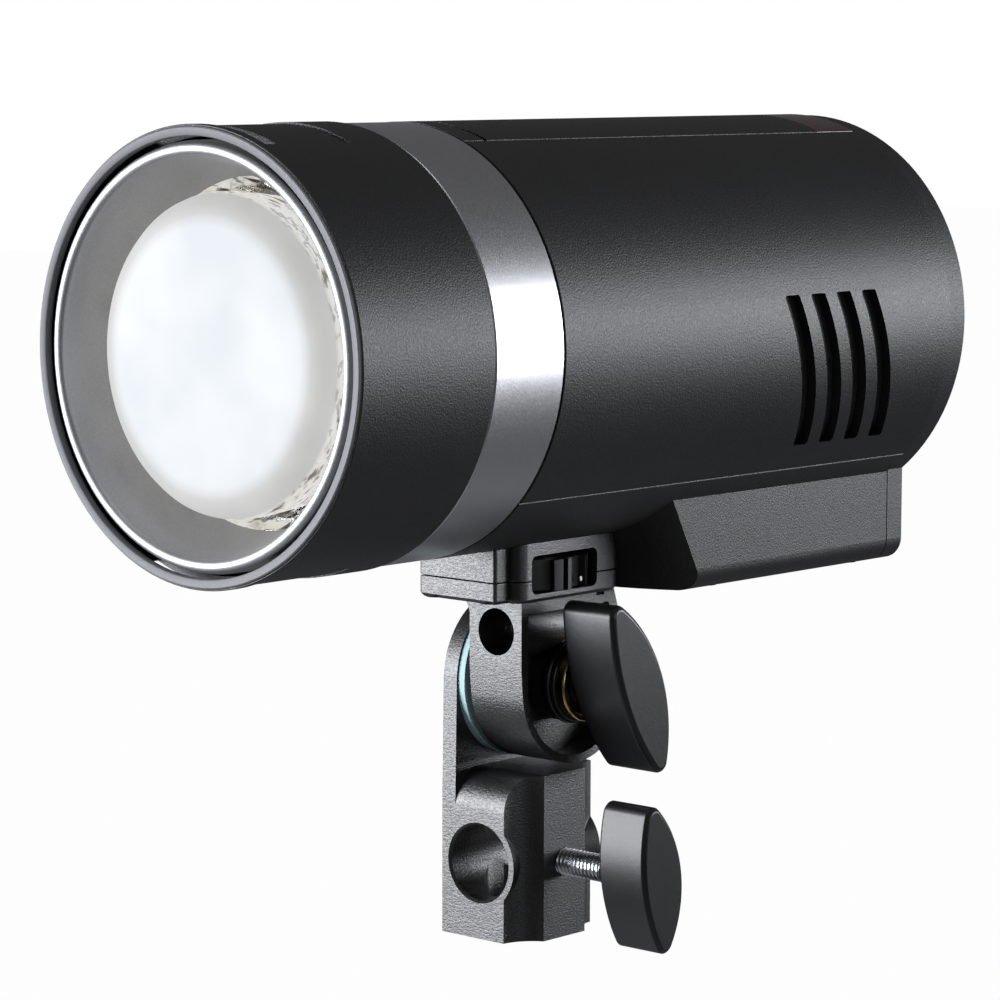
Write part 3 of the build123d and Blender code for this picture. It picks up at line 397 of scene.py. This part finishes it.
# Frosted cap material with a painted glow and painted glints.
FROSTED_PAINTED_GLOW = frosted_glass_painted_glow("frosted_glass_painted_glow")
CAST = wrinkle_coat("wrinkle_powder_coat")
HANDLE = moulded_black("satin_handle", 0.008, 0.011, 2600, 0.12, 0.3, 0.36)
WHEEL = moulded_black("wheel_plastic", 0.007, 0.01, 3000, 0.2, 0.28, 0.38)
BRASS = plain_gloss("turned_brass", (0.62, 0.47, 0.2), 0.24, 1.0, 0.2, 700, 0.1)
ZINC = plain_gloss("zinc_plate", (0.66, 0.68, 0.7), 0.22, 1.0, 0.12, 900, 0.1)
BLACK_STEEL = plain_gloss("blackened_steel", (0.03, 0.03, 0.032), 0.35, 0.4, 0.3, 800, 0.1)
LINING = plain_gloss("friction_lining", (0.42, 0.62, 0.66), 0.6, 0.0, 0.12, 1500, 0.3)
SENSOR = plain_gloss("dark_red_window", (0.035, 0.012, 0.012), 0.12, 0.0, 0.3, 200, 0.02)
SCREEN = plain_gloss("display_glass", (0.012, 0.014, 0.017), 0.06, 0.0, 0.2, 60, 0.0)
KEY = plain_gloss("soft_key_rubber", (0.06, 0.06, 0.065), 0.55, 0.0, 0.12, 2500, 0.2)
FLAP = plain_gloss("flap_rubber", (0.018, 0.018, 0.019), 0.6, 0.0, 0.15, 3000, 0.3)
INNER = plain_gloss("inner_plastic", (0.01, 0.01, 0.011), 0.5, 0.0, 0.2, 800, 0.1)
CERAMIC = plain_gloss("socket_ceramic", (0.78, 0.77, 0.73), 0.5, 0.0, 0.05, 900, 0.1)
CLEAR_TUBE = plain_gloss("tube_glass", (0.86, 0.9, 0.92), 0.05, 0.0, 0.03, 200, 0.0)
PHOSPHOR = plain_gloss("phosphor_gel", (0.85, 0.62, 0.12), 0.35, 0.0, 0.1, 1500, 0.1)
BOARD = plain_gloss("solder_mask", (0.02, 0.12, 0.05), 0.35, 0.0, 0.3, 700, 0.1)
SLEEVE = plain_gloss("shrink_sleeve", (0.015, 0.016, 0.04), 0.3, 0.0, 0.1, 500, 0.05)
WHITE_PAINT = plain_gloss("white_paint", (0.85, 0.85, 0.84), 0.45, 0.0, 0.04, 900, 0.05)
STEEL = plain_gloss("plain_steel", (0.6, 0.6, 0.61), 0.28, 1.0, 0.12, 700, 0.1)

NODE_FINISH = {
    "front_barrel": SHELL, "right_side_shell": SHELL, "left_side_shell": SHELL, "top_strip": SHELL,
    "bottom_shell": BOX_SHELL_PAINTED_LIGHTER, "rear_cover": BOX_SHELL_PAINTED_LIGHTER, "battery_pack": BOX_SHELL_PAINTED_LIGHTER, "battery_latch": BOX_SHELL_PAINTED_LIGHTER,
    "front_rim": RIM, "accessory_ring": RING, "reflector": BOWL, "reflector_cup": HAMMERED,
    "frosted_dome": FROSTED_PAINTED_GLOW, "dome_clips": STEEL, "battery_contacts": STEEL, "lamp_socket": CERAMIC,
    "flash_tube": CLEAR_TUBE, "lamp_module": PHOSPHOR, "head_core": INNER, "left_vent_screen": INNER,
    "right_vent_screen": INNER, "port_block": INNER, "fan_frame": INNER, "fan_impeller": INNER,
    "sensor_window": SENSOR, "display_window": SCREEN, "display_module": INNER, "control_dial": WHEEL,
    "port_cover": FLAP, "main_board": BOARD, "power_board": BOARD, "flash_capacitor_1": SLEEVE,
    "flash_capacitor_2": SLEEVE, "flash_capacitor_3": SLEEVE, "bracket_saddle": CAST, "tilt_bracket": CAST,
    "stand_receiver": CAST, "thumb_wheel": WHEEL, "tilt_handle": HANDLE, "lock_handle": HANDLE,
    "tilt_nut": BRASS, "tripod_bush": BRASS, "clamp_pad": BRASS, "lock_screw": ZINC, "wheel_stud": ZINC,
    "tilt_bolt": BLACK_STEEL, "tilt_washers": BLACK_STEEL, "bracket_screws": BLACK_STEEL,
    "box_screws": BLACK_STEEL, "friction_disc": LINING,
    "test_button": KEY, "power_button": KEY, "set_button": KEY,
    **{f"function_button_{number}": KEY for number in range(1, 5)},
}


def finish_nodes():
    """Gives every CAD node its material."""
    for node, material in NODE_FINISH.items():
        for slot in NODES[node].material_slots:
            slot.material = material


finish_nodes()


# ---------------------------------------------------------------- front of the lamp

AXIS = (0, 1, 0)
ACROSS = (1, 0, 0)
NOSE = on_axis(0)


# Profiles are (distance behind the front rim, radius) in millimetres.

MOUTH_RING = [
    (0.6, 44.65), (0.15, 44.52), (0.0, 44.3), (0.05, 43.0), (0.2, 42.8), (0.6, 42.7), (1.6, 42.7),
    (2.2, 43.2), (2.2, 44.65), (0.6, 44.65),
]
BEAD_DISTANCE, BEAD_RADIUS, BEAD_ROUND = 2.0, 40.3, 1.3
BOWL_SKIRT = [(9.0, 41.4), (9.0, 42.0), (3.0, 41.9)]
BOWL_WALL = [
    (2.6, 38.9), (4.6, 38.2), (7.0, 37.65), (9.0, 37.2), (11.2, 36.6), (14.0, 35.8), (17.0, 34.7),
    (17.0, 35.7), (11.2, 37.5), (7.0, 38.6), (3.2, 39.6), (1.7, 39.9), (1.5, 40.5), (2.4, 41.2), (9.0, 41.4),
]
HAMMERED_BOWL = [
    (17.1, 34.7), (18.0, 34.3), (20.5, 33.1), (23.5, 31.6), (26.5, 29.8), (29.0, 27.0), (30.6, 23.8),
    (31.5, 19.0), (32.3, 19.0), (31.3, 24.6), (29.6, 28.2), (26.9, 30.9), (23.8, 32.8), (20.5, 34.2),
    (17.1, 35.7), (17.1, 34.7),
]
FROSTED_CAP = [
    (3.5, 0.0), (3.52, 10.0), (3.56, 18.0), (3.64, 24.0), (3.85, 26.8), (4.4, 28.9), (5.4, 30.4),
    (6.8, 31.4), (8.6, 31.9), (12.0, 31.9), (17.0, 31.4), (21.6, 30.85), (22.0, 30.4), (22.0, 28.8),
    (21.5, 28.6), (9.5, 29.6), (7.6, 28.9), (6.3, 27.2), (5.8, 24.6), (5.7, 12.0), (5.7, 0.0),
]
FRONT_STEPS = 160
CAP_STEPS = 128


def add_rim():
    """Silver mouth ring with a soft outer corner."""
    stands_for(turned("mouth_ring", MOUTH_RING, NOSE, AXIS, FRONT_STEPS), "front_rim", RIM)


def add_reflector():
    """Spun bowl with its rolled bead, and the bright inner bowl behind it."""
    bead = [
        (
            BEAD_DISTANCE - BEAD_ROUND * math.sin(math.radians(turn)),
            BEAD_RADIUS + BEAD_ROUND * math.cos(math.radians(turn)),
        )
        for turn in range(0, 181, 15)
    ]
    bowl = turned("satin_bowl", [*BOWL_SKIRT, *bead, *BOWL_WALL], NOSE, AXIS, FRONT_STEPS, 50)
    stands_for(bowl, "reflector", BOWL)
    stands_for(turned("hammered_bowl", HAMMERED_BOWL, NOSE, AXIS, FRONT_STEPS, 60), "reflector_cup", HAMMERED)


def add_dome():
    """Thick frosted cap: nearly flat front, soft shoulder, hollow inside."""
    stands_for(turned("frosted_cap", FROSTED_CAP, NOSE, AXIS, CAP_STEPS, 60), "frosted_dome", FROSTED_PAINTED_GLOW)


TUBE_REACH, TUBE_LEG, TUBE_RADIUS = 15.0, 6.0, 2.95
TUBE_DISTANCE = 20.0
TUBE_PARTS = 40
LEG_DISTANCES = (35.0, 30.0, 25.0, 22.5)


def add_flash_tube():
    """Glass horseshoe on two legs. The first leg's line runs to its foot and then back up to the ring."""
    drop = math.sqrt(TUBE_REACH ** 2 - TUBE_LEG ** 2)
    gap = math.asin(TUBE_LEG / TUBE_REACH)
    angles = [gap + (math.tau - 2 * gap) * step / TUBE_PARTS for step in range(TUBE_PARTS + 1)]
    ring = [
        on_axis(TUBE_DISTANCE) + Vector((-math.sin(turn), 0, -math.cos(turn))) * TUBE_REACH * MM
        for turn in angles
    ]
    side = Vector((TUBE_LEG * MM, 0, -drop * MM))
    legs = [on_axis(distance) + side for distance in LEG_DISTANCES]
    other = [Vector((-point.x, point.y, point.z)) for point in reversed(legs)]
    chain(other + ring + legs[::-1])
    bpy.ops.object.mode_set(mode="OBJECT")
    bpy.ops.object.convert(target="CURVE")
    tube = bpy.context.object
    tube.data.bevel_depth = TUBE_RADIUS * MM
    tube.data.bevel_resolution = 8
    tube.data.use_fill_caps = True
    bpy.ops.object.convert(target="MESH")
    stands_for(settle(bpy.context.object, "glass_horseshoe", 60), "flash_tube", CLEAR_TUBE)


# ---------------------------------------------------------------- bracket pieces

HINGE = Vector((0, HINGE_Y, HINGE_Z))
SCREW_Z = (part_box("lock_screw")[0].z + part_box("lock_screw")[1].z) / 2
CLAMP = Vector((0, 0, SCREW_Z))


# Nodes whose cast or moulded edges are softened: node, piece, rounding in millimetres.
CASTINGS = (
    ("tilt_bracket", "bracket_casting", 0.45),
    ("bracket_saddle", "saddle_casting", 0.45),
    ("stand_receiver", "receiver_casting", 0.5),
)
WINGS = (("tilt_handle", "tilt_wing"), ("lock_handle", "lock_wing"))
WING_ROUNDING = 0.45


def add_castings():
    """Castings and wing handles with their edges softened."""
    for node, name, width in CASTINGS:
        stands_for(rounded(merged_copy(node, name), width), node, CAST)
    for node, name in WINGS:
        stands_for(rounded(merged_copy(node, name), WING_ROUNDING, 4), node, HANDLE)


# Hinge stack along +X from the hinge centre, in millimetres.
BORE = 4.1
BRASS_NUT = [
    (12.4, BORE), (12.4, 7.9), (12.7, 8.2), (14.5, 8.2), (14.8, 7.95), (14.8, 7.2), (14.5, 6.9), (13.6, 6.6),
    (13.6, 5.35), (13.4, BORE), (12.4, BORE),
]
# left face, right face, radius
WASHERS = ((8.3, 9.8, 7.4), (10.1, 11.15, 9.0), (11.25, 12.35, 8.5))
STACK_STEPS = 96


def add_hinge_stack():
    """Brass nut and the black washers between it and the hub."""
    nut = turned("brass_nut", BRASS_NUT, HINGE, ACROSS, STACK_STEPS)
    stands_for(rounded(nut, 0.1, 2), "tilt_nut", BRASS)
    stack = [
        turned("washer", [
            (left, BORE), (left, radius - 0.25), (left + 0.2, radius), (right - 0.2, radius),
            (right, radius - 0.25), (right, BORE), (left, BORE),
        ], HINGE, ACROSS, STACK_STEPS)
        for left, right, radius in WASHERS
    ]
    stands_for(joined(stack, "hinge_washers"), "tilt_washers", BLACK_STEEL)


THREAD_PITCH, THREAD_CREST, THREAD_ROOT = 1.0, 2.93, 2.42
THREAD_TURNS = 22
THREAD_STEPS = 28
SCREW_LEFT, SCREW_RIGHT = 9.5, 33.0


def add_clamp_screw():
    """Lock screw: one pitch of thread repeated along its length, round a plain core."""
    outline = [
        (0.0, THREAD_ROOT), (0.1, THREAD_ROOT), (0.42, THREAD_CREST), (0.58, THREAD_CREST),
        (0.9, THREAD_ROOT), (THREAD_PITCH, THREAD_ROOT),
    ]
    thread = chain([Vector((distance, 0, radius)) * MM for distance, radius in outline])
    bpy.ops.object.mode_set(mode="OBJECT")
    sweep = thread.modifiers.new("thread", "SCREW")
    sweep.axis = "X"
    sweep.angle = math.tau
    sweep.screw_offset = THREAD_PITCH * MM
    sweep.iterations = THREAD_TURNS
    sweep.steps = THREAD_STEPS
    sweep.render_steps = THREAD_STEPS
    sweep.use_merge_vertices = True
    bpy.ops.object.modifier_apply(modifier=sweep.name)
    thread.location = CLAMP + Vector((SCREW_LEFT * MM, 0, 0))
    settle(thread, "thread", 40)
    core = turned("core", [
        (SCREW_LEFT, 0), (SCREW_LEFT, 2.0), (SCREW_LEFT + 0.3, 2.5), (SCREW_RIGHT - 0.2, 2.5),
        (SCREW_RIGHT, 2.3), (SCREW_RIGHT, 0),
    ], CLAMP, ACROSS, 32)
    stands_for(joined([thread, core], "clamp_screw"), "lock_screw", ZINC)


WHEEL_SIDES = 78
SIDES_PER_RIB = 3
DRUM_RADIUS, RIB_HEIGHT = 13.9, 1.5
DOT = [(0, 0), (0, 0.55), (0.12, 0.5), (0.18, 0.3), (0.2, 0)]
DOT_HEIGHT, DOT_DISTANCE = 1.7, 15.3
DOT_SIDE = 3.5


def add_thumb_wheel():
    """Ribbed wheel: every third side face of a drum drawn out into a rib, and a white dot on one rib."""
    low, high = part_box("thumb_wheel")
    middle = (low + high) / 2
    pitch = 360 / WHEEL_SIDES
    deselect()
    bpy.ops.mesh.primitive_cylinder_add(
        vertices=WHEEL_SIDES, radius=DRUM_RADIUS * MM, depth=high.z - low.z, location=middle)
    wheel = bpy.context.object
    bpy.ops.object.mode_set(mode="EDIT")
    bpy.ops.mesh.select_mode(type="FACE")
    bpy.ops.mesh.select_all(action="DESELECT")
    bpy.ops.object.mode_set(mode="OBJECT")
    for face in wheel.data.polygons:
        turn = math.degrees(math.atan2(face.normal.y, face.normal.x)) % 360
        if abs(face.normal.z) < 0.5:
            face.select = int(turn / pitch) % SIDES_PER_RIB == 0
    bpy.ops.object.mode_set(mode="EDIT")
    bpy.ops.mesh.extrude_region_shrink_fatten(TRANSFORM_OT_shrink_fatten={"value": RIB_HEIGHT * MM})
    bpy.ops.object.mode_set(mode="OBJECT")
    settle(wheel, "ribbed_wheel", 30)
    stands_for(rounded(wheel, 0.22, 2), "thumb_wheel", WHEEL)
    turn = math.radians(pitch * DOT_SIDE)
    out = Vector((math.cos(turn), math.sin(turn), 0))
    centre = Vector((middle.x, middle.y, low.z + DOT_HEIGHT * MM)) + out * DOT_DISTANCE * MM
    dot = turned("index_dot", DOT, centre, tuple(out), 24)
    added(dot, BODY_OF["thumb_wheel"], WHITE_PAINT)


add_rim()
add_reflector()
add_dome()
add_flash_tube()
add_castings()
add_hinge_stack()
add_clamp_screw()
add_thumb_wheel()


# ---------------------------------------------------------------- stage, light and camera


FLOOR_SIZE = 30
FLOOR_PLACE = (0, 6, -0.9)
ROOM_LIGHT = 0.1


def add_stage():
    """Pale floor well below the bracket: near white to look at, duller as a source of bounced light."""
    deselect()
    bpy.ops.mesh.primitive_plane_add(size=FLOOR_SIZE, location=FLOOR_PLACE)
    floor = bpy.context.object
    floor.name = "floor"
    material, tree, shader, place = start_material("pale_floor")
    drift = noise(tree, place, 2, 2.0, 0.5)
    paint(tree, shader, drift, [(0.3, (0.3, 0.3, 0.3)), (0.7, (0.33, 0.33, 0.33))])
    shader.inputs["Roughness"].default_value = 0.8
    glow = tree.nodes.new("ShaderNodeEmission")
    glow.inputs["Color"].default_value = (0.985, 0.985, 0.985, 1)
    path = tree.nodes.new("ShaderNodeLightPath")
    seen = tree.nodes.new("ShaderNodeMixShader")
    tree.links.new(path.outputs["Is Camera Ray"], seen.inputs["Fac"])
    tree.links.new(shader.outputs["BSDF"], seen.inputs[1])
    tree.links.new(glow.outputs["Emission"], seen.inputs[2])
    tree.links.new(seen.outputs["Shader"], tree.nodes["Material Output"].inputs["Surface"])
    floor.data.materials.append(material)


LIGHT_TARGET = Vector((0, 0, 0.1))
DAYLIGHT = (0.93, 0.955, 1.0)

# name, azimuth and elevation in degrees, distance, size, power
SOFTBOXES = (
    ("rear_right_softbox", 138, 6, 1.2, (0.9, 0.42), 13),
    ("right_softbox", 80, 10, 1.4, (0.6, 0.5), 2.2),
    ("front_left_softbox", -42, 2, 1.4, (0.9, 0.9), 36),
    ("top_softbox", 30, 78, 1.4, (0.8, 0.8), 3.6),
)


def add_softbox(name, azimuth, elevation, distance, size, power):
    """Area light that looks at the middle of the strobe. Azimuth 0 is in front of the lamp."""
    turn, lift = math.radians(azimuth), math.radians(elevation)
    offset = Vector((math.sin(turn) * math.cos(lift), -math.cos(turn) * math.cos(lift), math.sin(lift)))
    light = bpy.data.lights.new(name, "AREA")
    light.shape = "RECTANGLE"
    light.size, light.size_y = size
    light.energy = power
    light.color = DAYLIGHT
    lamp = bpy.data.objects.new(name, light)
    bpy.context.collection.objects.link(lamp)
    lamp.location = LIGHT_TARGET + offset * distance
    lamp.rotation_euler = (-offset).to_track_quat("-Z", "Y").to_euler()


def add_world():
    """White surroundings: full white behind the object, softer where they light it."""
    world = bpy.data.worlds.new("white_room")
    bpy.context.scene.world = world
    world.use_nodes = True
    tree = world.node_tree
    background = tree.nodes["Background"]
    background.inputs["Color"].default_value = (1, 1, 1, 1)
    path = tree.nodes.new("ShaderNodeLightPath")
    strength = tree.nodes.new("ShaderNodeMapRange")
    strength.inputs["To Min"].default_value = ROOM_LIGHT
    strength.inputs["To Max"].default_value = 1.0
    tree.links.new(path.outputs["Is Camera Ray"], strength.inputs["Value"])
    tree.links.new(strength.outputs["Result"], background.inputs["Strength"])


CAMERA_PLACE = Vector((0.53125, -0.5982, 0.18787))
CAMERA_AZIMUTH = 41.962
CAMERA_ELEVATION = 6.802
CAMERA_ROLL = 0.135
LENS = 136.87
SENSOR_WIDTH = 36.0


def add_camera():
    """Camera in front of the lamp and to its right, a little above its axis."""
    data = bpy.data.cameras.new("camera")
    data.lens = LENS
    data.sensor_width = SENSOR_WIDTH
    data.clip_end = 100
    camera = bpy.data.objects.new("camera", data)
    bpy.context.collection.objects.link(camera)
    turn, lift = math.radians(CAMERA_AZIMUTH), math.radians(CAMERA_ELEVATION)
    forward = Vector((-math.sin(turn) * math.cos(lift), math.cos(turn) * math.cos(lift), -math.sin(lift)))
    right = Vector((math.cos(turn), math.sin(turn), 0))
    up = right.cross(forward)
    axes = Matrix((right, up, -forward)).transposed()
    roll = Matrix.Rotation(math.radians(CAMERA_ROLL), 3, "Z")
    camera.matrix_world = Matrix.Translation(CAMERA_PLACE) @ (axes @ roll).to_4x4()
    bpy.context.scene.camera = camera


add_stage()
add_world()
for softbox in SOFTBOXES:
    add_softbox(*softbox)
add_camera()
bpy.context.scene.view_settings.view_transform = "Standard"
